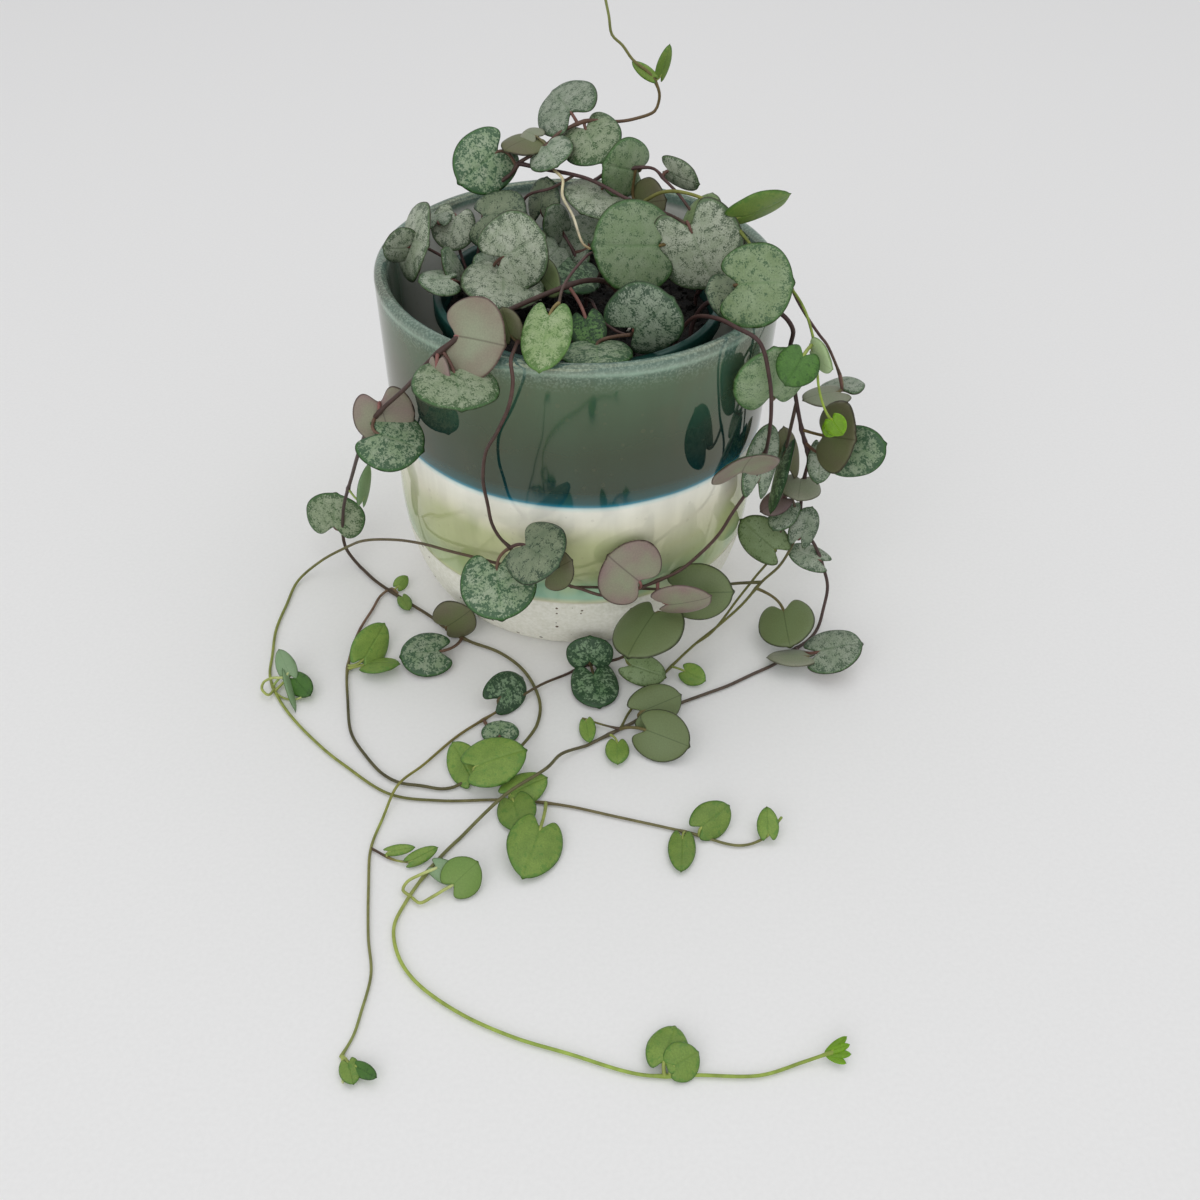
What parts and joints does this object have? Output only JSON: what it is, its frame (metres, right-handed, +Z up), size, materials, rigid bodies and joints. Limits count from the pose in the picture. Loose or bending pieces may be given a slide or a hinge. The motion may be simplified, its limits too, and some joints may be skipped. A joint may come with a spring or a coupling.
{
  "type": "potted trailing plant",
  "caption": "Trailing plant with heart-shaped succulent leaves on thin stems, in a plastic nursery pot inside a rounded glazed stoneware pot, vines lying on the surface.",
  "frame": {"origin": "middle of the pot's foot, on the surface that it stands on", "axes": "+Z up through the pot, -Y towards the plant's front"},
  "size_m": [0.183, 0.249, 0.1834],
  "materials": {
    "glazed_stoneware": "glossy teal and cream running glaze over speckled clay",
    "nursery_plastic": "dark green-teal thermoformed plastic",
    "potting_soil": "loose dark potting mix",
    "vine": "fleshy grey-green mottled leaves on brown-purple stems",
    "dry_stem": "dry straw-coloured tendril"
  },
  "bodies": {
    "root": {"pot": "glazed_stoneware", "nursery_pot": "nursery_plastic", "soil": "potting_soil", "vine_left": "vine", "vine_front": "vine", "vine_ring": "vine", "vine_right": "vine", "vine_purple": "vine", "crown_back": "vine", "crown_left": "vine", "crown_centre": "vine", "dry_tendril": "dry_stem"}
  },
  "joints": []
}
